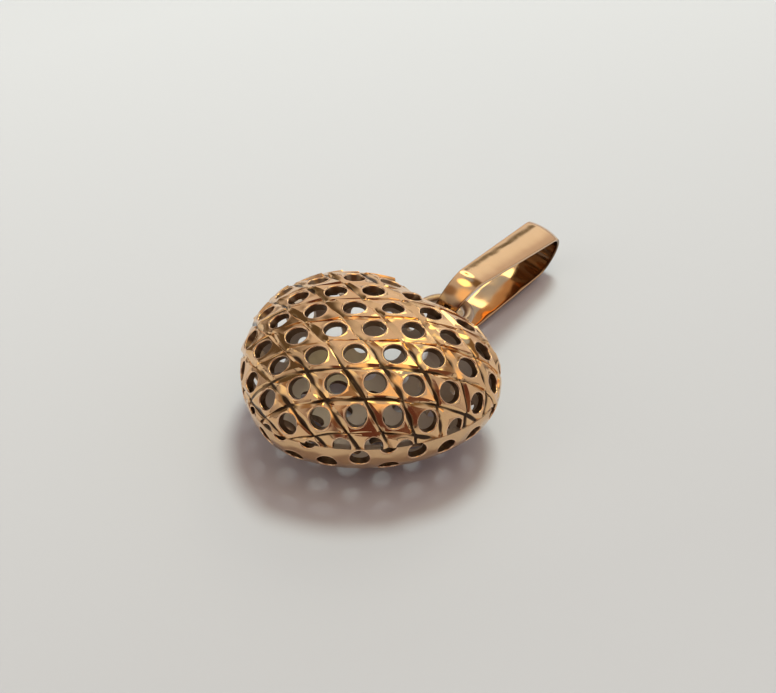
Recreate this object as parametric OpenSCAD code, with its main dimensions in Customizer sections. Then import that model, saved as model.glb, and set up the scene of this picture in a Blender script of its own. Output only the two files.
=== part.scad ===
// Puffed heart pendant, pierced and diamond cut, with a swinging bail.
// It lies on its back: Z is up, Y runs from the tip to the bail, X runs across the lobes.
// Sizes are in millimetres.

/* [Heart] */
// width across the two lobes
heart_w = 15; // [12:0.5:18]
// length from the lobe tops to the tip
heart_l = 13.3; // [12:0.1:16]
// thickness of the whole puffed body, front to back
heart_t = 7.6; // [6:0.1:9]
// radius of each lobe in plan
lobe_r = 5; // [4.4:0.1:5.6]
// radius of the long sides in plan
side_r = 9.3; // [8.6:0.1:12]
// radius of the rounded tip
tip_r = 3; // [2:0.1:3.6]
// fullness of the dome, 2 is an ellipse and more is boxier
fullness = 2.2; // [2:0.05:2.6]
// height of the dome's centre above the middle of the outline
centre_y = 0.8; // [0:0.1:1.2]
// metal thickness of the stamped halves
wall = 0.4; // [0.3:0.05:0.6]

/* [Piercing] */
// diameter of the round holes before the sheet is domed
hole_d = 1.24; // [0.9:0.02:1.36]
// pitch of the holes along a row
pitch = 2.12; // [2.06:0.02:2.5]
// turn of the rows away from the X axis, degrees
rows_turn = 41.9; // [35:0.1:50]
// X of one hole, measured over the dome from its centre
hole_x = 1.66; // [1:0.02:2.2]
// Y of the same hole, measured over the dome from its centre
hole_y = -2.78; // [-3.2:0.02:-2.2]

/* [Diamond cuts] */
// depth of the cuts
cut_depth = 0.14; // [0.08:0.02:0.2]
// width of the slanting cuts, which run between the holes of a row
slant_w = 0.42; // [0.3:0.02:0.5]
// width of the cuts that run between the rows
row_w = 0.24; // [0.16:0.02:0.4]

/* [Ring] */
// diameter of the round wire
wire_d = 0.6; // [0.5:0.02:0.7]
// diameter of the ring at the middle of the wire
ring_d = 2.9; // [2.8:0.05:3.2]
// depth to which the ring is let into the cleft for soldering
ring_sink = 0.12; // [0.05:0.01:0.25]

/* [Bail] */
// length of the loop from fold to fold
bail_l = 12.7; // [11:0.1:15]
// height of the loop at the ring end, over half the heart's thickness
bail_over = 1.15; // [1:0.05:1.6]
// height of the loop at the far end
far_h = 3.35; // [3:0.05:4]
// thickness of the band
band_t = 0.35; // [0.25:0.05:0.45]
// width of the band where it passes through the ring
fold_w = 1.3; // [1:0.05:1.35]
// width of the band just past the ring
neck_w = 1.6; // [1.4:0.05:1.65]
// width of the band at the far end
far_w = 2.15; // [1.8:0.05:2.6]
// lean of the loop to one side as it lies, degrees
lean = 14; // [5:0.5:16]
// turn of the loop as it lies, seen from above, degrees
bail_turn = 6.5; // [2:0.5:8]
// play between the wire of the ring and the inside of the fold
wire_play = 0.43; // [0.36:0.01:0.46]
// how far the loop has slid along the ring, to -X
bail_slide = 0.25; // [0:0.05:0.3]
// gap left under the lower edge of the loop as it lies
bail_gap = 0.1; // [0:0.02:0.2]

/* [Hidden] */
gold = [0.80, 0.60, 0.43];
gold_pale = [0.86, 0.68, 0.50];

// heights
half_t = heart_t / 2;
row_gap = pitch * sin(60);

// outline of the heart from its dome centre: lobe circle, side circle, tip circle
lobe_c = [heart_w / 2 - lobe_r, heart_l / 2 - lobe_r - centre_y];
tip_c = [0, -heart_l / 2 + tip_r - centre_y];
arm = tip_c - lobe_c;
arm_l = norm(arm);
reach_lobe = side_r - lobe_r;
reach_tip = side_r - tip_r;
foot = (reach_lobe * reach_lobe - reach_tip * reach_tip + arm_l * arm_l) / (2 * arm_l);
rise = sqrt(max(0, reach_lobe * reach_lobe - foot * foot));
side_c = lobe_c + foot * arm / arm_l + rise * [arm[1], -arm[0]] / arm_l;
lobe_end = side_c + side_r * (lobe_c - side_c) / reach_lobe;
side_end = side_c + side_r * (tip_c - side_c) / reach_tip;
lobe_a = atan2(lobe_end[1], lobe_end[0]);
side_a = atan2(side_end[1], side_end[0]);

function hit(d, c, r) = d * c + sqrt(max(0, (d * c) * (d * c) - c * c + r * r));
function edge(a) =
    let (d = [abs(cos(a)), sin(a)], b = atan2(d[1], d[0]))
    b > lobe_a ? hit(d, lobe_c, lobe_r)
    : b > side_a ? hit(d, side_c, side_r)
    : hit(d, tip_c, tip_r);
// the cleft fades towards the middle of the dome
function soft_edge(a, s) =
    let (e = 26 * max(0, 1 - s))
    (edge(a - e) + edge(a) + edge(a + e)) / 3;

// dome: a superellipse, walked by the length of its curve
steps = 40;
power = 2 / fullness;
slim = half_t / (0.45 * heart_w);
arc = [for (i = [0 : steps])
    let (a = 90 * i / steps) [pow(sin(a), power), slim * pow(cos(a), power)]];
run = [for (i = 0, s = 0; i <= steps; i = i + 1,
    s = s + (i <= steps ? norm(arc[i] - arc[i - 1]) : 0)) s];
stretch = run[steps];
walk = [for (i = [0 : steps]) [run[i] / stretch, 90 * i / steps]];
function slope_at(s) = s <= 1 ? lookup(s, walk) : 180 - lookup(max(0, 2 - s), walk);

// point of the dome at p, measured over the surface, at a depth under it
function dome(p, depth) =
    let (
        a = atan2(p[1], p[0]),
        s = norm(p) / (stretch * edge(a)),
        f = slope_at(s),
        r = (soft_edge(a, min(1, s)) - depth) * pow(sin(f), power),
        z = (half_t - depth) * sign(cos(f)) * pow(abs(cos(f)), power)
    )
    [r * cos(a), r * sin(a), z];

// the grid of tiles, one hole in each
row_dir = [cos(rows_turn), sin(rows_turn)];
down_dir = [sin(rows_turn), -cos(rows_turn)];
step_row = pitch * row_dir;
step_slant = pitch / 2 * row_dir + row_gap * down_dir;
hole_at = [hole_x, hole_y];
function grid(i, j) = hole_at + i / 2 * step_row + j / 2 * step_slant;
ring_of = [[1, 0], [1, 1], [0, 1], [-1, 1], [-1, 0], [-1, -1], [0, -1], [1, -1]];
function over(p) = norm(p) / (stretch * edge(atan2(p[1], p[0])));
function kept(m, n) = min([for (q = ring_of) over(grid(2 * m + q[0], 2 * n + q[1]))]) < 1.0;
tiles = [for (m = [-7 : 7]) for (n = [-7 : 7]) if (kept(m, n)) [m, n]];

// which point of the twelve on the hole each of the eight on the tile's border faces
facing = [0, 1, 2, 4, 6, 7, 8, 10];
// band between the twelve points from a and the eight from b
function band12_8(a, b) = [for (k = [0 : 7])
    let (h = facing[k], n = (k + 1) % 8, wide = (facing[n] - h + 12) % 12 == 2)
    each wide
    ? [[a + h, a + h + 1, b + k], [a + h + 1, b + n, b + k], [a + h + 1, a + (h + 2) % 12, b + n]]
    : [[a + h, a + (h + 1) % 12, b + n], [a + h, b + n, b + k]]];
function band8_8(a, b) = [for (k = [0 : 7])
    let (n = (k + 1) % 8) each [[a + k, a + n, b + n], [a + k, b + n, b + k]]];
function flip(faces) = [for (f = faces) [f[2], f[1], f[0]]];
function shift(faces, d) = [for (f = faces) f + [d, d, d]];

// points of one tile: hole outside, hole inside, border outside, border inside, edge of the land
function tile_points(m, n, cut) =
    let (c = grid(2 * m, 2 * n), fr = 1 - slant_w / row_gap, fs = 1 - row_w / row_gap)
    concat(
        [for (k = [0 : 11]) dome(c + hole_d / 2 * (cos(30 * k) * row_dir + sin(30 * k) * down_dir), 0)],
        [for (k = [0 : 11]) dome(c + hole_d / 2 * (cos(30 * k) * row_dir + sin(30 * k) * down_dir), wall)],
        [for (q = ring_of) dome(grid(2 * m + q[0], 2 * n + q[1]), cut)],
        [for (q = ring_of) dome(grid(2 * m + q[0], 2 * n + q[1]), wall)],
        cut > 0 ? [for (q = ring_of) dome(grid(2 * m + fr * q[0], 2 * n + fs * q[1]), 0)] : []
    );
function tile_faces(cut) = concat(
    cut > 0 ? concat(band12_8(0, 40), band8_8(40, 24)) : band12_8(0, 24),
    flip(band12_8(12, 32)),
    [for (k = [0 : 11]) let (n = (k + 1) % 12) each [[k, 12 + k, 12 + n], [k, 12 + n, n]]]
);
// the four sides of a tile: the neighbour beyond it and the border points along it
sides = [[[1, 0], [7, 0, 1]], [[0, 1], [1, 2, 3]], [[-1, 0], [3, 4, 5]], [[0, -1], [5, 6, 7]]];
function open_sides(t) = [for (s = sides) if (!kept(t[0] + s[0][0], t[1] + s[0][1]))
    for (e = [0, 1]) let (p = s[1][e], q = s[1][e + 1])
    each [[24 + p, 24 + q, 32 + q], [24 + p, 32 + q, 32 + p]]];

// one stamped half, dome up, its rim cut flat at Z 0
module half_shell(cut) {
    count = len(tile_points(0, 0, cut));
    // keeps its size, and makes the trimmed dome one closed mesh
    resize([0, 0, 0])
        intersection() {
            polyhedron(
                points = [for (t = tiles) each tile_points(t[0], t[1], cut)],
                faces = [for (i = [0 : len(tiles) - 1])
                    each shift(flip(concat(tile_faces(cut), open_sides(tiles[i]))), count * i)]
            );
            translate([-heart_w, -heart_l, 0])
                cube([2 * heart_w, 2 * heart_l, heart_t]);
        }
}

// places along Y, from the middle of the heart's outline
cleft_y = centre_y + edge(90);
ring_y = cleft_y - ring_sink + (ring_d + wire_d) / 2;
pin_y = ring_y + sqrt(ring_d * ring_d / 4 - bail_slide * bail_slide);
bail_h = half_t + bail_over;
near_r = bail_h / 2;
far_r = far_h / 2;
reach = bail_l - near_r - far_r;
taper = asin((near_r - far_r) / reach);
// the loop lies along the lower edge of its band, which is level
dip = atan(tan(taper) * cos(lean) - (far_w - neck_w) / 2 * sin(lean) / (reach * pow(cos(taper), 2)));
low_r = far_r * norm([sin(dip), cos(lean) * cos(dip)]) + far_w / 2 * sin(lean) * cos(dip);
bail_z = bail_gap + low_r + reach * sin(dip);
gap_r = near_r - band_t - wire_d / 2 - wire_play;
bail_y = pin_y + sqrt(max(0, gap_r * gap_r - pow(half_t - bail_z, 2)));
// direction across the band, which crosses the wire of the ring at its middle
across = [
    cos(lean) * cos(bail_turn) + sin(lean) * sin(dip) * sin(bail_turn),
    cos(lean) * sin(bail_turn) - sin(lean) * sin(dip) * cos(bail_turn),
    -sin(lean) * cos(dip)
];
bail_x = -bail_slide + (across[1] * (pin_y - bail_y) + across[2] * (half_t - bail_z)) / across[0];
tail_y = bail_y + reach * cos(dip) * cos(bail_turn) + far_r * sqrt(1 - pow(across[1], 2)) + far_w / 2 * across[1];
middle_y = (tail_y - heart_l / 2) / 2;

module at_heart() {
    translate([0, -middle_y, half_t])
        children();
}

module front_shell() {
    color(gold)
    at_heart()
        translate([0, centre_y, 0])
            half_shell(cut_depth);
}

module back_shell() {
    color(gold_pale)
    at_heart()
        translate([0, centre_y, 0])
            rotate([0, 180, 0])
                half_shell(0);
}

module hanging_ring() {
    color(gold)
    at_heart()
        translate([0, ring_y, 0])
            rotate_extrude($fn = 72)
                translate([ring_d / 2, 0])
                    circle(d = wire_d, $fn = 32);
}

// the loop as a solid bar, its sides seen along X, ring end at the origin
module loop_bar(inset, width) {
    a = taper;
    translate([0, 0, -width / 2])
        cylinder(h = width, r = near_r - inset, $fn = 96);
    translate([reach, 0, -width / 2])
        cylinder(h = width, r = far_r - inset, $fn = 96);
    translate([0, 0, -width / 2])
        linear_extrude(height = width)
            polygon([
                (near_r - inset) * [sin(a), cos(a)],
                [reach, 0] + (far_r - inset) * [sin(a), cos(a)],
                [reach, 0] + (far_r - inset) * [sin(a), -cos(a)],
                (near_r - inset) * [sin(a), -cos(a)]
            ]);
}

// the band seen from above, narrow where it threads the ring
module band_plan() {
    near_s = near_r * sin(taper);
    far_s = reach + far_r * sin(taper);
    polygon([
        [-near_r - 1, -fold_w / 2],
        [-near_r, -fold_w / 2],
        [near_s, -neck_w / 2],
        [far_s, -far_w / 2],
        [reach + far_r + 1, -far_w / 2],
        [reach + far_r + 1, far_w / 2],
        [far_s, far_w / 2],
        [near_s, neck_w / 2],
        [-near_r, fold_w / 2],
        [-near_r - 1, fold_w / 2]
    ]);
}

module bail() {
    color(gold_pale)
    translate([bail_x, bail_y - middle_y, bail_z])
        rotate([0, 0, bail_turn])
            rotate([-dip, 0, 0])
                rotate([0, lean, 0])
                    rotate([0, 0, 90])
                        intersection() {
                            rotate([90, 0, 0])
                                difference() {
                                    loop_bar(0, 2 * far_w);
                                    loop_bar(band_t, 3 * far_w);
                                }
                            translate([0, 0, -bail_h])
                                linear_extrude(height = 2 * bail_h)
                                    band_plan();
                        }
}

front_shell();
back_shell();
hanging_ring();
bail();
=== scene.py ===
"""Looks of the pierced, diamond-cut puffed heart pendant, in the row frame, in metres."""
import math
from contextlib import contextmanager

import bpy
import bmesh
import numpy as np
from mathutils import Matrix, Vector


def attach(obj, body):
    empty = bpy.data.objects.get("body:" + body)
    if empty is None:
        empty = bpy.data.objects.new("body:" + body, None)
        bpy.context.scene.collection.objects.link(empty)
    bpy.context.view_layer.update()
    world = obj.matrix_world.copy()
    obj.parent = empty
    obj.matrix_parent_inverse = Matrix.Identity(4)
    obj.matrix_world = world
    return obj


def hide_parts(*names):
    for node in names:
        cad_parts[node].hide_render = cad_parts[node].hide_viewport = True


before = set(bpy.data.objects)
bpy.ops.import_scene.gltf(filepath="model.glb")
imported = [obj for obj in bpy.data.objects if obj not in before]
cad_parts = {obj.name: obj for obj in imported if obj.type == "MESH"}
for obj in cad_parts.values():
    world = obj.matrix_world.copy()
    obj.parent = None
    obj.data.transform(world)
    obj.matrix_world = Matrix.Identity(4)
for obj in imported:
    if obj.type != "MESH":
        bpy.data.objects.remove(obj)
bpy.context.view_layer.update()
MM = 0.001

# Sizes, in mm and degrees, as in the part's source
HEART_W, HEART_L, HEART_T = 15.0, 13.3, 7.6
LOBE_R, SIDE_R, TIP_R = 5.0, 9.3, 3.0
FULLNESS, CENTRE_Y, WALL = 2.2, 0.8, 0.4
HOLE_D, PITCH, ROWS_TURN = 1.24, 2.12, 41.9
HOLE_AT = np.array([1.66, -2.78])
CUT_DEPTH = 0.14
WIRE_D, RING_D, RING_SINK = 0.6, 2.9, 0.12
BAIL_L, BAIL_OVER, FAR_H, BAND_T = 12.7, 1.15, 3.35, 0.35
FOLD_W, NECK_W, FAR_W = 1.3, 1.6, 2.15
LEAN, BAIL_TURN, WIRE_PLAY, BAIL_SLIDE, BAIL_GAP = 14.0, 6.5, 0.43, 0.25, 0.1

# Outline of the heart, from its dome's centre: lobe circle, side circle and tip circle
HALF_T = HEART_T / 2
LOBE_C = np.array([HEART_W / 2 - LOBE_R, HEART_L / 2 - LOBE_R - CENTRE_Y])
TIP_C = np.array([0.0, -HEART_L / 2 + TIP_R - CENTRE_Y])
ARM = TIP_C - LOBE_C
ARM_L = float(np.linalg.norm(ARM))
REACH_LOBE, REACH_TIP = SIDE_R - LOBE_R, SIDE_R - TIP_R
FOOT = (REACH_LOBE ** 2 - REACH_TIP ** 2 + ARM_L ** 2) / (2 * ARM_L)
RISE = math.sqrt(max(0.0, REACH_LOBE ** 2 - FOOT ** 2))
SIDE_C = LOBE_C + FOOT * ARM / ARM_L + RISE * np.array([ARM[1], -ARM[0]]) / ARM_L
LOBE_END = SIDE_C + SIDE_R * (LOBE_C - SIDE_C) / REACH_LOBE
SIDE_END = SIDE_C + SIDE_R * (TIP_C - SIDE_C) / REACH_TIP
LOBE_A = math.atan2(LOBE_END[1], LOBE_END[0])
SIDE_A = math.atan2(SIDE_END[1], SIDE_END[0])


def hit(dx, dy, c, r):
    """How far the direction dx, dy goes from the origin to the far side of the circle at c."""
    b = dx * c[0] + dy * c[1]
    return b + np.sqrt(np.maximum(0.0, b * b - c @ c + r * r))


def edge(a):
    """Radius of the outline from the dome's centre, at angle a in radians."""
    dx, dy = np.abs(np.cos(a)), np.sin(a)
    b = np.arctan2(dy, dx)
    side_or_tip = np.where(b > SIDE_A, hit(dx, dy, SIDE_C, SIDE_R), hit(dx, dy, TIP_C, TIP_R))
    return np.where(b > LOBE_A, hit(dx, dy, LOBE_C, LOBE_R), side_or_tip)


# Section of the dome: a superellipse, walked by the length of its curve
STEPS, POWER = 40, 2 / FULLNESS
RADIUS_SHARE = 0.45
CLEFT_FADE = math.radians(26)
SLIM = HALF_T / (RADIUS_SHARE * HEART_W)
ARC_A = np.radians(np.linspace(0, 90, STEPS + 1))
ARC = np.stack([np.sin(ARC_A) ** POWER, SLIM * np.abs(np.cos(ARC_A)) ** POWER], -1)
RUN = np.concatenate([[0], np.cumsum(np.hypot(*np.diff(ARC, axis=0).T))])
STRETCH = RUN[-1]


def over(p):
    """Distance of the unrolled points p from the dome's centre, 1 at the girdle."""
    return np.hypot(p[..., 0], p[..., 1]) / (STRETCH * edge(np.arctan2(p[..., 1], p[..., 0])))


def dome(p, depth):
    """Points of the dome, from points p unrolled over it, at a depth under it. Its centre is the origin."""
    p = np.asarray(p, float)
    a = np.arctan2(p[..., 1], p[..., 0])
    s = over(p)
    inside = np.interp(np.minimum(s, 1), RUN / STRETCH, ARC_A)
    beyond = math.pi - np.interp(np.clip(2 - s, 0, 1), RUN / STRETCH, ARC_A)
    f = np.where(s <= 1, inside, beyond)
    e = CLEFT_FADE * np.maximum(0, 1 - np.minimum(1, s))
    soft = (edge(a - e) + edge(a) + edge(a + e)) / 3
    r = (soft - depth) * np.abs(np.sin(f)) ** POWER
    z = (HALF_T - depth) * np.sign(np.cos(f)) * np.abs(np.cos(f)) ** POWER
    return np.stack([r * np.cos(a), r * np.sin(a), z], -1)


# The lattice of tiles, with one hole in each
TURN = math.radians(ROWS_TURN)
ROW_DIR = np.array([math.cos(TURN), math.sin(TURN)])
DOWN_DIR = np.array([math.sin(TURN), -math.cos(TURN)])
ROW_GAP = PITCH * math.sin(math.radians(60))
HALF_GAP = ROW_GAP / 2
STEP_ROW = PITCH * ROW_DIR
STEP_SLANT = PITCH / 2 * ROW_DIR + ROW_GAP * DOWN_DIR
RING_OF = [(1, 0), (1, 1), (0, 1), (-1, 1), (-1, 0), (-1, -1), (0, -1), (1, -1)]
SPAN = range(-7, 8)


def grid(i, j):
    """The unrolled point i half steps along the rows and j half steps down the slant."""
    i, j = np.asarray(i, float)[..., None], np.asarray(j, float)[..., None]
    return HOLE_AT + i / 2 * STEP_ROW + j / 2 * STEP_SLANT


TILES = [(m, n) for m in SPAN for n in SPAN
         if min(over(grid(2 * m + q[0], 2 * n + q[1])) for q in RING_OF) < 1.0]

# Places along Y, from the middle of the heart's outline, and the pose of the bail
CLEFT_Y = CENTRE_Y + float(edge(np.array(math.pi / 2)))
RING_Y = CLEFT_Y - RING_SINK + (RING_D + WIRE_D) / 2
PIN_Y = RING_Y + math.sqrt(RING_D ** 2 / 4 - BAIL_SLIDE ** 2)
NEAR_R, FAR_R = (HALF_T + BAIL_OVER) / 2, FAR_H / 2
REACH = BAIL_L - NEAR_R - FAR_R
TAPER = math.asin((NEAR_R - FAR_R) / REACH)
LEAN_A, TURN_A = math.radians(LEAN), math.radians(BAIL_TURN)
COS_L, SIN_L, COS_T, SIN_T = math.cos(LEAN_A), math.sin(LEAN_A), math.cos(TURN_A), math.sin(TURN_A)
DIP = math.atan(math.tan(TAPER) * COS_L
                - (FAR_W - NECK_W) / 2 * SIN_L / (REACH * math.cos(TAPER) ** 2))
COS_D, SIN_D = math.cos(DIP), math.sin(DIP)
BAIL_Z = (BAIL_GAP + FAR_R * math.hypot(SIN_D, COS_L * COS_D)
          + FAR_W / 2 * SIN_L * COS_D + REACH * SIN_D)
GAP_R = NEAR_R - BAND_T - WIRE_D / 2 - WIRE_PLAY
BAIL_Y = PIN_Y + math.sqrt(max(0.0, GAP_R ** 2 - (HALF_T - BAIL_Z) ** 2))
# direction across the band
ACROSS = (COS_L * COS_T + SIN_L * SIN_D * SIN_T,
          COS_L * SIN_T - SIN_L * SIN_D * COS_T,
          -SIN_L * COS_D)
BAIL_X = -BAIL_SLIDE + (ACROSS[1] * (PIN_Y - BAIL_Y) + ACROSS[2] * (HALF_T - BAIL_Z)) / ACROSS[0]
TAIL_Y = (BAIL_Y + REACH * COS_D * COS_T + FAR_R * math.sqrt(1 - ACROSS[1] ** 2)
          + FAR_W / 2 * ACROSS[1])
MIDDLE_Y = (TAIL_Y - HEART_L / 2) / 2


# Nodes
def noise(tree, vector, scale, detail):
    """A noise texture's value, with scale in turns per metre."""
    node = tree.nodes.new("ShaderNodeTexNoise")
    node.inputs["Scale"].default_value = scale
    node.inputs["Detail"].default_value = detail
    tree.links.new(vector, node.inputs["Vector"])
    return node.outputs["Fac"]


def remap(tree, value, source, target=(0.0, 1.0), smooth=False):
    """The value, moved from the source range to the target range."""
    node = tree.nodes.new("ShaderNodeMapRange")
    if smooth:
        node.interpolation_type = "SMOOTHSTEP"
    for end, near, far in (("Min", source[0], target[0]), ("Max", source[1], target[1])):
        node.inputs["From " + end].default_value = near
        node.inputs["To " + end].default_value = far
    tree.links.new(value, node.inputs["Value"])
    return node.outputs["Result"]


def blend(tree, factor, first, second):
    """A mix of two colours, each a socket or three numbers."""
    node = tree.nodes.new("ShaderNodeMix")
    node.data_type = "RGBA"
    tree.links.new(factor, node.inputs["Factor"])
    for socket, colour in (("A", first), ("B", second)):
        if isinstance(colour, bpy.types.NodeSocket):
            tree.links.new(colour, node.inputs[socket])
        else:
            node.inputs[socket].default_value = (*colour, 1)
    return node.outputs["Result"]


def dot(tree, vector, direction):
    """Length of the vector along the direction."""
    node = tree.nodes.new("ShaderNodeVectorMath")
    node.operation = "DOT_PRODUCT"
    node.inputs[1].default_value = direction
    tree.links.new(vector, node.inputs[0])
    return node.outputs["Value"]


def bump(tree, height, strength, distance, normal=None):
    """A normal that follows the height, on top of another normal if one is given."""
    node = tree.nodes.new("ShaderNodeBump")
    node.inputs["Strength"].default_value = strength
    node.inputs["Distance"].default_value = distance
    tree.links.new(height, node.inputs["Height"])
    if normal:
        tree.links.new(normal, node.inputs["Normal"])
    return node.outputs["Normal"]


# Materials
# scale and detail of each noise
DRIFT, SMUDGE, SLOW_WAVE, FINE_LINES = (420.0, 4.0), (900.0, 5.0), (700.0, 1.0), (2600.0, 3.0)
SMUDGE_RANGE = (0.3, 0.7)
SCRATCH_HEIGHT = 0.02 * MM
LEAST_ROUGH = 0.02
# the values of deep over which the darkening sets in, painted shade and dirt, and its colour as shares of
# the metal's
SHADE_AND_DIRT_SETS_IN = (0.6, 1.0)
SHADE_AND_DIRT_SHARE = (0.06, 0.05, 0.05)
SHADE_AND_DIRT_SPECULAR = 0.15


def new_material(name):
    m = bpy.data.materials.new(name)
    m.use_nodes = True
    return m, m.node_tree, m.node_tree.nodes["Principled BSDF"]


def gold(name, colour, rough, rough_spread, scratch, tone, wave=0.0, grime_and_shade=0.0, dull=0.0):
    """Rose gold: slow colour drift, smudged gloss, fine polishing lines and a wave in mm, and with a share
    of darkening also painted shade and dirt where the attribute deep is high, which takes away the share
    dull of the metal's shine."""
    m, tree, bsdf = new_material(name)
    bsdf.inputs["Metallic"].default_value = 1.0
    coord = tree.nodes.new("ShaderNodeTexCoord").outputs["Object"]
    dark = [c * (1 - tone) for c in colour]
    light = [min(1.0, c * (1 + tone)) for c in colour]
    shade = blend(tree, noise(tree, coord, *DRIFT), dark, light)
    if grime_and_shade:
        deep = tree.nodes.new("ShaderNodeAttribute")
        deep.attribute_name = "deep"
        # a dark, matte share of the colour where deep is high: painted shade in the hollows, and dirt
        share = remap(tree, deep.outputs["Fac"], SHADE_AND_DIRT_SETS_IN, (0.0, grime_and_shade), smooth=True)
        shade = blend(tree, share, shade, [c * d for c, d in zip(colour, SHADE_AND_DIRT_SHARE)])
        if dull:
            shine = remap(tree, share, (0.0, grime_and_shade), (1.0, 1.0 - dull))
            tree.links.new(shine, bsdf.inputs["Metallic"])
            bsdf.inputs["Specular IOR Level"].default_value = SHADE_AND_DIRT_SPECULAR
    tree.links.new(shade, bsdf.inputs["Base Color"])
    gloss = remap(tree, noise(tree, coord, *SMUDGE), SMUDGE_RANGE,
                  (max(LEAST_ROUGH, rough - rough_spread), rough + rough_spread))
    tree.links.new(gloss, bsdf.inputs["Roughness"])
    waves = bump(tree, noise(tree, coord, *SLOW_WAVE), 1.0, wave * MM) if wave else None
    lines = bump(tree, noise(tree, coord, *FINE_LINES), scratch, SCRATCH_HEIGHT, waves)
    tree.links.new(lines, bsdf.inputs["Normal"])
    return m


# name, colour, roughness and its spread, strength of the polishing lines, drift of the colour
M_LAND = gold("rose_gold_land", (0.81, 0.50, 0.265), 0.15, 0.05, 0.04, 0.06, wave=0.22)
# the cuts: painted shade and dirt where deep is high
M_CUT = gold("rose_gold_cut", (0.82, 0.52, 0.27), 0.08, 0.03, 0.05, 0.06,
             wave=0.12, grime_and_shade=1.0, dull=0.6)
# the lips round the holes: paler than the land, a painted highlight on their rounded edge
M_RIM_LIT = gold("rose_gold_rim_highlight", (0.86, 0.56, 0.34), 0.13, 0.04, 0.02, 0.05, wave=0.08)
# the front shell's underside: a darker copy of the pan's matte metal, a painted shade in the hollow
M_INSIDE_SHADE = gold("rose_gold_inside_shade", (0.38, 0.28, 0.22), 0.45, 0.08, 0.25, 0.15)
M_PAN = gold("rose_gold_pan", (0.70, 0.60, 0.52), 0.45, 0.08, 0.25, 0.15)
M_BACK = gold("rose_gold_back", (0.70, 0.45, 0.25), 0.18, 0.06, 0.06, 0.2, wave=0.3)
# the walls of the holes: the metal painted dark, a painted shade inside the holes
M_HOLE_WALL_SHADE = gold("rose_gold_hole_wall_shade", (0.24, 0.16, 0.10), 0.32, 0.08, 0.2, 0.2)
# the bail: painted shade and dirt in its folds
M_BAIL = gold("rose_gold_bail", (0.73, 0.455, 0.25), 0.11, 0.03, 0.03, 0.05,
              wave=0.03, grime_and_shade=0.85)
M_RING = gold("rose_gold_ring", (0.50, 0.36, 0.26), 0.34, 0.08, 0.08, 0.12)


# Meshes
def add_mesh(name, verts, faces, mats, smooth=True):
    me = bpy.data.meshes.new(name)
    me.from_pydata([tuple(v) for v in verts], [], [tuple(f) for f in faces])
    for m in mats:
        me.materials.append(m)
    me.polygons.foreach_set("use_smooth", [smooth] * len(faces))
    me.update()
    o = bpy.data.objects.new(name, me)
    bpy.context.scene.collection.objects.link(o)
    return o


@contextmanager
def editing(o):
    """The object's mesh as a bmesh, written back at the end."""
    bm = bmesh.new()
    bm.from_mesh(o.data)
    yield bm
    bm.to_mesh(o.data)
    bm.free()


def set_deep(o, values):
    """Gives each point of the mesh its value of deep, which a material reads for its painted shade and
    dirt.
    """
    deep = o.data.attributes.new("deep", "FLOAT", "POINT")
    deep.data.foreach_set("value", np.array(values, np.float32))


def place(o, matrix):
    o.data.transform(matrix)
    o.data.update()


# Heart. Each tile is a stack of loops of points, from its border in to the hole and back under the sheet.
N_SIDE = 9
N_RIM = 8 * N_SIDE
LIP, RAISE = 0.09, 0.012
# the rounded lip round a hole: share of the way from the lip's edge to the hole, and height over the sheet
LIP_PROFILE = [(0.25, RAISE * 0.8), (0.5, RAISE), (0.75, RAISE * 0.2), (0.93, -0.02), (1.0, -0.055)]
# how far the bottoms of the cuts lie off the middle between two holes
SHIFT = -0.08 * ROW_DIR + 0.02 * DOWN_DIR
WANDER = 0.075
# width of the left, right, upper and lower wall of a cut, before their changes over the heart, and the
# uneven share of it that each tile gets
WALL_WIDTHS = (0.38, 0.13, 0.16, 0.12)
WALL_SPREAD, WALL_LEAST, WALL_MOST = 0.3, 0.4, 1.7
LENS_MIDDLE, LENS_DROP = 1.25, 0.7
# depth of the cuts as a share, that of the cuts along the rows, and their darkening: painted shade
# that grows with the depth, more on the far lobes and in the lowest rows, and dirt in spots
BITE_MEAN, BITE_SWING = 0.82, 0.18
SHALLOW_LEAST, SHALLOW_MORE = 0.55, 0.35
CUT_SHADE_BASE, FAR_SHADE, NEAR_SHADE, DIRT_SPOTS = 0.58, 0.85, 0.75, 0.38
# the land of a tile: how flat it is, its tilt, and where it ends on the way from the hole to the border
FLAT_LEAST, FLAT_MORE = 0.12, 0.5
TILT_SPREAD = 0.035
HALVINGS = 12
LAND_LEAST, LAND_MOST, LAND_UNCUT = 0.12, 0.92, 0.6
NORMAL_DEPTH, SAME_POINT = 0.1, 1e-5
# along a tile's border, how far a slanting cut keeps its depth to either side
BORDER_LEFT, BORDER_RIGHT = 0.3, 0.13
# how much of a tile's flattening its border, the next loop and all other loops take
FLAT_BY_LOOP = (0, 0.7, 1)

# materials of a shell, and which of them the bands between its loops have
LAND, CUT, RIM, INSIDE, HOLE_WALL = range(5)
CUT_BANDS, LAND_BANDS = (0.67, 0.33, 0.0), (0.75, 0.5, 0.25)
LOOPS_ABOVE = 1 + len(CUT_BANDS) + len(LAND_BANDS) + 1
N_BANDS = LOOPS_ABOVE - 1 + len(LIP_PROFILE) + 2


def border_loop():
    """Points (i, j) round the tile's border, N_SIDE steps between two of its eight points."""
    pts = []
    for k in range(8):
        q, r = RING_OF[k], RING_OF[(k + 1) % 8]
        for t in range(N_SIDE):
            u = t / N_SIDE
            pts.append((q[0] * (1 - u) + r[0] * u, q[1] * (1 - u) + r[1] * u))
    return np.array(pts)


BORDER = border_loop()


def ripple(p, along_x, along_y, phase=0.0):
    """A sine wave over the unrolled dome, with its turn in radians per mm along X and Y."""
    return np.sin(along_x * p[..., 0] + along_y * p[..., 1] + phase)


def rise_from(x, start, length, least=0):
    """How far x has gone from start along the length, from least to 1."""
    return np.clip((x - start) / length, least, 1)


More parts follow.
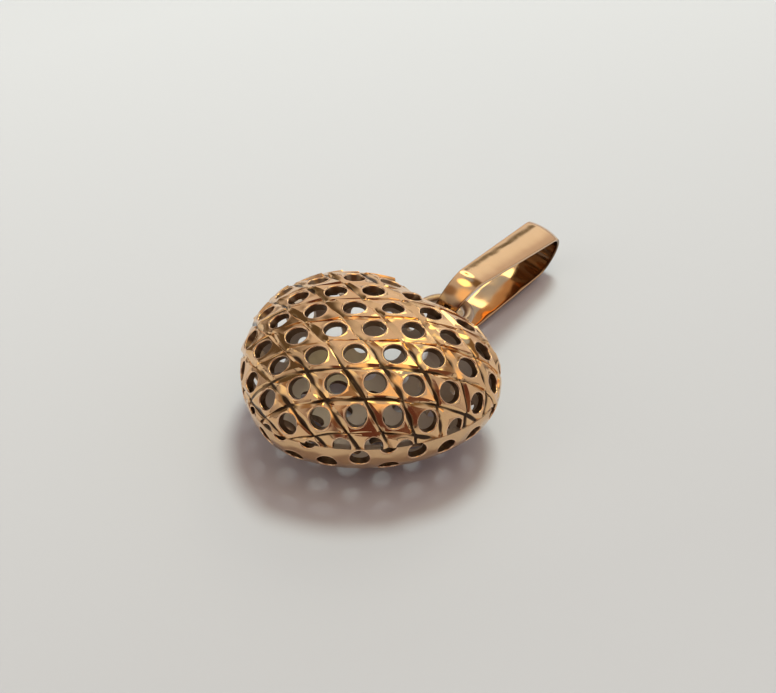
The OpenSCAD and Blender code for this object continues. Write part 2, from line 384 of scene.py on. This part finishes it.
def wander(p):
    """Sideways drift of the cuts at p, as they were cut by hand."""
    return WANDER * np.stack([ripple(p, 1.9, 1.2, 0.4), ripple(p, -1.7, 1.6, 2.0)], -1)


def bite(p):
    """Share of the full depth that the cuts reach at p."""
    return BITE_MEAN + BITE_SWING * ripple(p, 1.5, -2.1, 1.0) * ripple(p, 2.3, 1.1)


def shade_and_dirt(p):
    """How dark the cuts are painted at p: painted shade, more on the far lobes and in the lowest rows, and
    dirt in spots.
    """
    far = rise_from(-p @ DOWN_DIR - 0.3 * p @ ROW_DIR, 1.2, 2.5)
    near = rise_from(p @ DOWN_DIR, 1.5, 2.5)
    spots = DIRT_SPOTS * ripple(p, 2.1, 0.7, 0.5) * ripple(p, -2.4, 1.3)
    return CUT_SHADE_BASE + FAR_SHADE * far + NEAR_SHADE * near + spots


def shallow(p):
    """Share of the slanting cuts' depth that the cuts along the rows have at p."""
    return SHALLOW_LEAST + SHALLOW_MORE * rise_from(p @ DOWN_DIR, 0.5, 3.5)


def wall_widths(p):
    """Width of the left, right, upper and lower wall of the cuts round a tile at p."""
    side = rise_from(p @ ROW_DIR, -1.0, 5.0, -1)
    down = rise_from(p @ DOWN_DIR, 1.0, 4.0, -1)
    changes = (-0.05 * side, 0.08 * np.clip(down, 0, 1), 0.08 * down, 0.09 * down)
    return [width + change for width, change in zip(WALL_WIDTHS, changes)]


def flatness(c):
    """Share by which the land of the tile at c is flattened, less towards the girdle."""
    return FLAT_LEAST + FLAT_MORE * float(rise_from(-over(c), -0.92, 0.3))


def lens(x):
    """Width of a cut's wall at x of its length, from -1 at one end to 1 at the other."""
    return LENS_MIDDLE - LENS_DROP * np.minimum(x ** 2, 1)


def land_edge(lip, outer, walls):
    """Where each ray from the lip to the border meets the edge of a cut, as a share of the ray."""
    near, far = np.zeros((N_RIM, 1)), np.ones((N_RIM, 1))
    for _ in range(HALVINGS):
        t = (near + far) / 2
        in_cut = (walls(lip + t * (outer - lip)).max(0) > 0)[:, None]
        near, far = np.where(in_cut, near, t), np.where(in_cut, t, far)
    return np.clip((near + far) / 2, LAND_LEAST, LAND_MOST)


def faceted(rings, shares, c, cut, tilt):
    """The loops on the dome, their cut parts sunk and their land drawn to one tilted plane."""
    whole = [dome(q, 0) for q in rings]
    land = np.concatenate(whole[1:])
    mid = land.mean(0)
    _, _, (side_v, down_v, normal) = np.linalg.svd(land - mid)
    normal = normal * np.sign(normal @ dome(c, 0) + 1e-9)
    flat = flatness(c)
    loops = []
    for k, q in enumerate(whole):
        # the border stays where the neighbours have it
        keep = (1 - shares[k])[:, None] * FLAT_BY_LOOP[min(k, 2)]
        off = ((q - mid) @ normal)[:, None]
        lean = ((q - mid) @ side_v)[:, None] * tilt[0] + ((q - mid) @ down_v)[:, None] * tilt[1]
        loops.append(dome(rings[k], cut * shares[k]) + keep * (lean - flat * off) * normal)
    return loops


def tile(m, n, cut, rng):
    """Loops of points of one tile, and the value of deep at each point."""
    c = grid(2 * m, 2 * n)
    outer = grid(2 * m + BORDER[:, 0], 2 * n + BORDER[:, 1])
    if cut:
        outer = outer + SHIFT + wander(outer)
    spread = outer - c
    ang = np.arctan2(spread @ DOWN_DIR, spread @ ROW_DIR)
    rim = np.stack([np.cos(ang), np.sin(ang)], -1) @ np.array([ROW_DIR, DOWN_DIR])
    hole, lip = c + HOLE_D / 2 * rim, c + (HOLE_D / 2 + LIP) * rim
    grow = np.clip(1 + WALL_SPREAD * rng.standard_normal(4), WALL_LEAST, WALL_MOST)
    left, right, upper, lower = (w * g for w, g in zip(wall_widths(c), grow))
    shift = SHIFT + wander(c)

    def walls(q):
        """How deep points q lie in each of the four cuts, as a share of the full depth."""
        d = q - c - shift
        jj = (d @ DOWN_DIR) / HALF_GAP
        ii = (d @ ROW_DIR - jj * PITCH / 4) / (PITCH / 2)
        slant, row = lens(jj), lens(ii)
        return np.stack([1 - (ii + 1) * HALF_GAP / (left * slant),
                         1 - (1 - ii) * HALF_GAP / (right * slant),
                         shallow(q) - (jj + 1) * HALF_GAP / (upper * row),
                         shallow(q) - (1 - jj) * HALF_GAP / (lower * row)])

    t = land_edge(lip, outer, walls) if cut else LAND_UNCUT
    rings = [outer] + [lip + (t + (1 - t) * u) * (outer - lip) for u in CUT_BANDS]
    rings += [lip + t * u * (outer - lip) for u in LAND_BANDS] + [lip]
    if cut:
        shares = [np.clip(walls(q).max(0), 0, 1) * bite(q) for q in rings]
        i = BORDER[:, 0]
        slant = np.maximum(1 - (i + 1) * HALF_GAP / BORDER_LEFT,
                           1 - (1 - i) * HALF_GAP / BORDER_RIGHT)
        border = np.where(np.abs(i) == 1, 1.0, np.clip(np.maximum(shallow(outer), slant), 0, 1))
        shares[0] = border * bite(outer)
        loops = faceted(rings, shares, c, cut, rng.normal(0, TILT_SPREAD, 2))
        # deep: painted shade that grows with the depth of the cut, and dirt in spots
        deep = [share * shade_and_dirt(q) for share, q in zip(shares, rings)]
    else:
        loops = [dome(q, 0) for q in rings]
        deep = [np.zeros(N_RIM)] * LOOPS_ABOVE
    lip_3d = loops[-1]
    normal = dome(lip, 0) - dome(lip, NORMAL_DEPTH)
    normal /= np.linalg.norm(normal, axis=1, keepdims=True)
    to_hole = dome(hole, 0) - dome(lip, 0)
    loops += [lip_3d + u * to_hole + h * normal for u, h in LIP_PROFILE]
    loops += [dome(hole, WALL), dome(outer, WALL)]
    deep += [np.zeros(N_RIM)] * (len(loops) - LOOPS_ABOVE)
    return np.concatenate(loops), np.concatenate(deep)


def set_sharp(o, limit):
    """Makes edges sharp where the outside meets the inside, and where they bend past the limit, but not
    on the lips."""
    with editing(o) as bm:
        for e in bm.edges:
            if len(e.link_faces) == 2:
                kinds = {f.material_index for f in e.link_faces}
                hidden = kinds & {INSIDE, HOLE_WALL} and len(kinds) == 2
                bent = RIM not in kinds and e.calc_face_angle(0) > limit
                e.smooth = not (hidden or bent)


def shell(name, cut, seed, mats, sharp_degrees):
    """One half of the heart round its dome's centre in mm, with cuts of that depth between its holes."""
    rng = np.random.default_rng(seed)
    a = np.arange(N_RIM)
    b = (a + 1) % N_RIM
    band = np.stack([a, b, b + N_RIM, a + N_RIM], -1)
    tile_faces = np.concatenate([band + k * N_RIM for k in range(N_BANDS)])
    kinds = [CUT if cut else LAND] * len(CUT_BANDS) + [LAND] * (len(LAND_BANDS) + 1)
    kinds += [RIM] * len(LIP_PROFILE) + [HOLE_WALL, INSIDE]
    built = [tile(m, n, cut, rng) for m, n in TILES]
    verts = np.concatenate([points for points, _ in built])
    faces = np.concatenate([tile_faces + k * len(built[0][0]) for k in range(len(TILES))])
    o = add_mesh(name, verts, faces.tolist(), mats)
    face_kinds = np.tile(np.repeat(kinds, N_RIM), len(TILES))
    o.data.polygons.foreach_set("material_index", face_kinds.astype(np.int32))
    set_deep(o, np.concatenate([deep for _, deep in built]))
    with editing(o) as bm:
        bmesh.ops.remove_doubles(bm, verts=bm.verts, dist=SAME_POINT)
        geom = bm.verts[:] + bm.edges[:] + bm.faces[:]
        bmesh.ops.bisect_plane(bm, geom=geom, plane_co=(0, 0, 0), plane_no=(0, 0, 1),
                               clear_inner=True)
        open_edges = [e for e in bm.edges if len(e.link_faces) == 1]
        for f in bmesh.ops.holes_fill(bm, edges=open_edges, sides=0)["faces"]:
            f.material_index = INSIDE
            f.smooth = False
        bmesh.ops.recalc_face_normals(bm, faces=bm.faces)
    set_sharp(o, math.radians(sharp_degrees))
    return o


TO_ROW = Matrix.Scale(MM, 4) @ Matrix.Translation((0, CENTRE_Y - MIDDLE_Y, HALF_T))
front = shell("heart_front", CUT_DEPTH, seed=3, sharp_degrees=9,
              mats=[M_LAND, M_CUT, M_RIM_LIT, M_INSIDE_SHADE, M_HOLE_WALL_SHADE])
place(front, TO_ROW)
back = shell("heart_back", 0.0, seed=4, sharp_degrees=40,
             mats=[M_BACK, M_CUT, M_RIM_LIT, M_PAN, M_HOLE_WALL_SHADE])
place(back, TO_ROW @ Matrix.Rotation(math.pi, 4, "Y"))


# Ring
RING_STEPS, WIRE_STEPS = 96, 32


def torus(name, big, small, n, k, mat):
    """A ring of n sections with k points each, big and small being its radii."""
    verts, faces = [], []
    for i in range(n):
        a = 2 * math.pi * i / n
        here, there = i * k, (i + 1) % n * k
        for j in range(k):
            b = 2 * math.pi * j / k
            r = big + small * math.cos(b)
            verts.append((r * math.cos(a), r * math.sin(a), small * math.sin(b)))
            faces.append((here + j, there + j, there + (j + 1) % k, here + (j + 1) % k))
    return add_mesh(name, verts, faces, [mat])


ring = torus("soldered_ring", RING_D / 2, WIRE_D / 2, RING_STEPS, WIRE_STEPS, M_RING)
place(ring, Matrix.Scale(MM, 4) @ Matrix.Translation((0, RING_Y - MIDDLE_Y, HALF_T)))

# Bail: a closed band, crowned on its outer face, with rounded edges
CROWN, SOFT = 0.16, 0.06
N_NEAR, N_FAR, N_STRIP, N_TOP, N_UNDER = 97, 73, 40, 17, 13
# low swellings of the lower strip's inner face: place along the loop and half length
SWELLS, SWELL_H = ((6.9, 0.5), (3.2, 0.5)), 0.05
# the value of deep in the folds, from where the darkening sets in to where it is darkest: painted shade
# round the ring end and inside the far bend, and a darker outer far tip
DEEP_LEAST, DEEP_MORE = 0.55, 0.4
# where that is, in radii of the fold: round the ring end, in the far bend and outside on the far tip
FOLD_FROM, FOLD_OVER, BEND_OVER, TIP_FROM, TIP_OVER = 0.55, 0.35, 0.5, 0.3, 0.2
SIN_TAPER, COS_TAPER = math.sin(TAPER), math.cos(TAPER)
NEAR_S, FAR_S = NEAR_R * SIN_TAPER, REACH + FAR_R * SIN_TAPER


def fold(centre, radius, start, end, n):
    """Points and normals (u, v, nu, nv) of the band's outer face round one end of the loop."""
    return [(centre + radius * math.cos(t), radius * math.sin(t), math.cos(t), math.sin(t))
            for t in np.linspace(start, end, n)]


def strip(p, q, normal):
    """Points and normals of the outer face between two folds, without their ends."""
    return [(p[0] + t * (q[0] - p[0]), p[1] + t * (q[1] - p[1]), *normal)
            for t in (k / N_STRIP for k in range(1, N_STRIP))]


def section_at(u, nv):
    """Section of the band as (x, height over the outer face, on the outside) round from its left edge."""
    w = float(np.interp(u, [-NEAR_R, NEAR_S, FAR_S], [FOLD_W, NECK_W, FAR_W]))
    h = w / 2
    crown = CROWN * (w / FAR_W) ** 2
    inner = h - SOFT
    drop = -crown * (inner / h) ** 2
    on_lower_strip = nv < -0.5
    rise = sum(SWELL_H * math.exp(-((u - c) / r) ** 2) for c, r in SWELLS) if on_lower_strip else 0.0
    top = [(x, -crown * (x / h) ** 2, True) for x in np.linspace(-inner, inner, N_TOP)]
    corner = []
    for middle, angles, outside in ((drop - SOFT, (60, 30, 0), True),
                                    (-BAND_T + SOFT, (0, -30, -60), False)):
        for b in map(math.radians, angles):
            corner.append((inner + SOFT * math.cos(b), middle + SOFT * math.sin(b), outside))
    under = [(x, -BAND_T - rise * (1 - (x / h) ** 2), False)
             for x in np.linspace(inner, -inner, N_UNDER)]
    return top + corner + under + [(-x, y, outside) for x, y, outside in reversed(corner)]


def bail_band():
    a, quarter = TAPER, math.pi / 2
    ends = (NEAR_S, -NEAR_R * COS_TAPER), (FAR_S, -FAR_R * COS_TAPER)
    path = fold(0.0, NEAR_R, quarter - a, 3 * quarter + a, N_NEAR)
    path += strip(*ends, (SIN_TAPER, -COS_TAPER))
    path += fold(REACH, FAR_R, -quarter + a, quarter - a, N_FAR)
    path += strip(*((u, -v) for u, v in reversed(ends)), (SIN_TAPER, COS_TAPER))
    verts, deep = [], []
    for u, v, nu, nv in path:
        in_fold = float(rise_from(-u / NEAR_R, FOLD_FROM, FOLD_OVER))
        in_bend = float(rise_from(u, FAR_S, BEND_OVER * FAR_R))
        on_tip = float(np.clip((u - FAR_S) / FAR_R - TIP_FROM, 0, TIP_OVER)) / TIP_OVER
        for x, off, outside in section_at(u, nv):
            verts.append((x, u + nu * off, v + nv * off))
            # painted shade in the fold round the ring and inside the far bend; the outer far tip darker
            share = max(in_fold, on_tip if outside else in_bend)
            deep.append(DEEP_LEAST + DEEP_MORE * share if share > 0 else 0)
    rows = len(path)
    k = len(verts) // rows
    faces = []
    for i in range(rows):
        j = (i + 1) % rows
        for t in range(k):
            faces.append((i * k + t, i * k + (t + 1) % k, j * k + (t + 1) % k, j * k + t))
    o = add_mesh("bail_loop", verts, faces, [M_BAIL])
    set_deep(o, deep)
    with editing(o) as bm:
        bmesh.ops.recalc_face_normals(bm, faces=bm.faces)
    return o


bail = bail_band()
BAIL_TO_ROW = (Matrix.Scale(MM, 4) @ Matrix.Translation((BAIL_X, BAIL_Y - MIDDLE_Y, BAIL_Z))
               @ Matrix.Rotation(TURN_A, 4, "Z") @ Matrix.Rotation(-DIP, 4, "X")
               @ Matrix.Rotation(LEAN_A, 4, "Y"))
place(bail, BAIL_TO_ROW)

for piece, body, node in ((front, "heart", "front_shell"), (back, "heart", "back_shell"),
                          (ring, "heart", "hanging_ring"), (bail, "bail", "bail")):
    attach(piece, body)
    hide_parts(node)

# Stage: the camera's side and its right are fitted to the photograph
ELEV, AZIM = math.radians(40.219), math.radians(41.546)
TO_CAMERA = Vector((math.sin(AZIM), -math.cos(AZIM), 0))
TO_RIGHT = Vector((math.cos(AZIM), math.sin(AZIM), 0))


def toward(side, height):
    """Direction, side degrees round from the camera's side towards its right, height degrees up."""
    f, e = math.radians(side), math.radians(height)
    level = math.cos(f) * TO_CAMERA + math.sin(f) * TO_RIGHT
    return math.cos(e) * level + math.sin(e) * Vector((0, 0, 1))


FLOOR_HALF = 0.6
# the floor is painted darker towards the camera and to the right: a painted shade, the falloff of the light
# over it
FLOOR_NEAR, FLOOR_FAR = (0.60, 0.60, 0.705), (0.735, 0.748, 0.88)
FLOOR_FADE = (-0.020, 0.056)
FLOOR_ROUGH, FLOOR_SPECULAR = 0.7, 0.2

floor_m, tree, bsdf = new_material("pale_floor")
bsdf.inputs["Roughness"].default_value = FLOOR_ROUGH
bsdf.inputs["Specular IOR Level"].default_value = FLOOR_SPECULAR
along = dot(tree, tree.nodes.new("ShaderNodeTexCoord").outputs["Object"], -TO_CAMERA - 0.5 * TO_RIGHT)
shaded_floor_colour = blend(tree, remap(tree, along, FLOOR_FADE), FLOOR_NEAR, FLOOR_FAR)
tree.links.new(shaded_floor_colour, bsdf.inputs["Base Color"])
corners = [(x * FLOOR_HALF, y * FLOOR_HALF, 0) for x, y in ((-1, -1), (1, -1), (1, 1), (-1, 1))]
floor = add_mesh("floor", corners, [(0, 1, 2, 3)], [floor_m], smooth=False)

# Soft round patches of the room, the later over the earlier: side and height of the middle, degrees from
# it within which the colour is full and beyond which it is gone, and the colour
PATCHES = (
    (176, 26, 24, 50, (0.78, 0.73, 0.69)),
    (24, 68, 10, 28, (1.25, 0.90, 0.50)),
    (-78, 66, 8, 19, (0.32, 0.21, 0.13)),
    (158, 22, 4, 16, (1.04, 1.06, 1.00)),
    (128, 45, 9, 20, (0.22, 0.15, 0.08)),
    (151, 51, 3, 8, (0.42, 0.50, 0.60)),
    (-132, 30, 14, 32, (0.12, 0.09, 0.055)),
    (-70, 32, 6, 20, (1.10, 1.00, 0.74)),
    (100, 22, 10, 30, (0.62, 0.60, 0.58)),
    (2, 26, 20, 36, (0.13, 0.05, 0.038)),
    (32, 34, 10, 26, (0.17, 0.08, 0.055)),
    (164.5, 19.5, 1.8, 4.2, (0.18, 0.16, 0.11)),
    (152, 69, 6, 14, (3.0, 2.75, 1.3)),
    (161, 37, 8, 9.5, (3.0, 2.9, 2.0)),
    (161, 37, 1.6, 3.4, (0.9, 0.6, 0.15)),
)
ROOM_LOW, ROOM_HIGH = (0.46, 0.43, 0.43), (0.62, 0.59, 0.57)
# near the horizon the room is dimmed, by height as the Z of the direction
DIM_HEIGHTS, DIM_TO = (0.02, 0.09), (0.3, 1.0)

world = bpy.data.worlds.new("studio")
bpy.context.scene.world = world
world.use_nodes = True
tree = world.node_tree
ray = tree.nodes.new("ShaderNodeTexCoord").outputs["Generated"]
split = tree.nodes.new("ShaderNodeSeparateXYZ")
tree.links.new(ray, split.inputs[0])
height_z = split.outputs["Z"]
room = blend(tree, remap(tree, height_z, (0.0, 1.0)), ROOM_LOW, ROOM_HIGH)
for side, height, inner, outer, colour in PATCHES:
    cosines = [math.cos(math.radians(angle)) for angle in (outer, inner)]
    share = remap(tree, dot(tree, ray, toward(side, height)), cosines, smooth=True)
    room = blend(tree, share, room, colour)
dim = tree.nodes.new("ShaderNodeVectorMath")
dim.operation = "SCALE"
tree.links.new(room, dim.inputs[0])
tree.links.new(remap(tree, height_z, DIM_HEIGHTS, DIM_TO, smooth=True), dim.inputs["Scale"])
tree.links.new(dim.outputs["Vector"], tree.nodes["Background"].inputs["Color"])
tree.nodes["Background"].inputs["Strength"].default_value = 1.0

# Key light, a soft disk that lights but isn't mirrored
KEY_AT, KEY_AIM, KEY_SIZE = 440 * toward(164, 65), Vector((0, 0, 2)), 135
KEY_POWER, KEY_COLOUR = 1.0, (0.86, 1.0, 0.86)
key_data = bpy.data.lights.new("key", "AREA")
key_data.shape = "DISK"
key_data.size = KEY_SIZE * MM
key_data.energy = KEY_POWER
key_data.color = KEY_COLOUR
key = bpy.data.objects.new("key", key_data)
key.location = KEY_AT * MM
key.rotation_euler = (KEY_AIM - KEY_AT).to_track_quat("-Z", "Y").to_euler()
key.visible_glossy = False
bpy.context.scene.collection.objects.link(key)

# Camera, fitted to the photograph: distance in mm, focal length and principal point in pixels
DIST, FOCAL_PX, CX, CY = 91.118, 1609.0, 356.284, 426.987
PHOTO_W, PHOTO_H = 776, 693
SENSOR, CLIP = 36.0, (0.001, 10.0)
back_dir = Vector((math.sin(AZIM) * math.cos(ELEV), -math.cos(AZIM) * math.cos(ELEV),
                   math.sin(ELEV)))
up_dir = back_dir.cross(TO_RIGHT)
cam_data = bpy.data.cameras.new("camera")
cam_data.sensor_fit = "HORIZONTAL"
cam_data.sensor_width = SENSOR
cam_data.lens = FOCAL_PX / PHOTO_W * SENSOR
cam_data.shift_x = -(CX - PHOTO_W / 2) / PHOTO_W
cam_data.shift_y = (CY - PHOTO_H / 2) / PHOTO_W
cam_data.clip_start, cam_data.clip_end = CLIP
cam = bpy.data.objects.new("camera", cam_data)
bpy.context.scene.collection.objects.link(cam)
turned = Matrix((TO_RIGHT, up_dir, back_dir)).transposed()
cam_at = (Vector((0, -MIDDLE_Y, 0)) + DIST * back_dir) * MM
cam.matrix_world = Matrix.Translation(cam_at) @ turned.to_4x4()
bpy.context.scene.camera = cam
bpy.context.scene.view_settings.view_transform = "Standard"
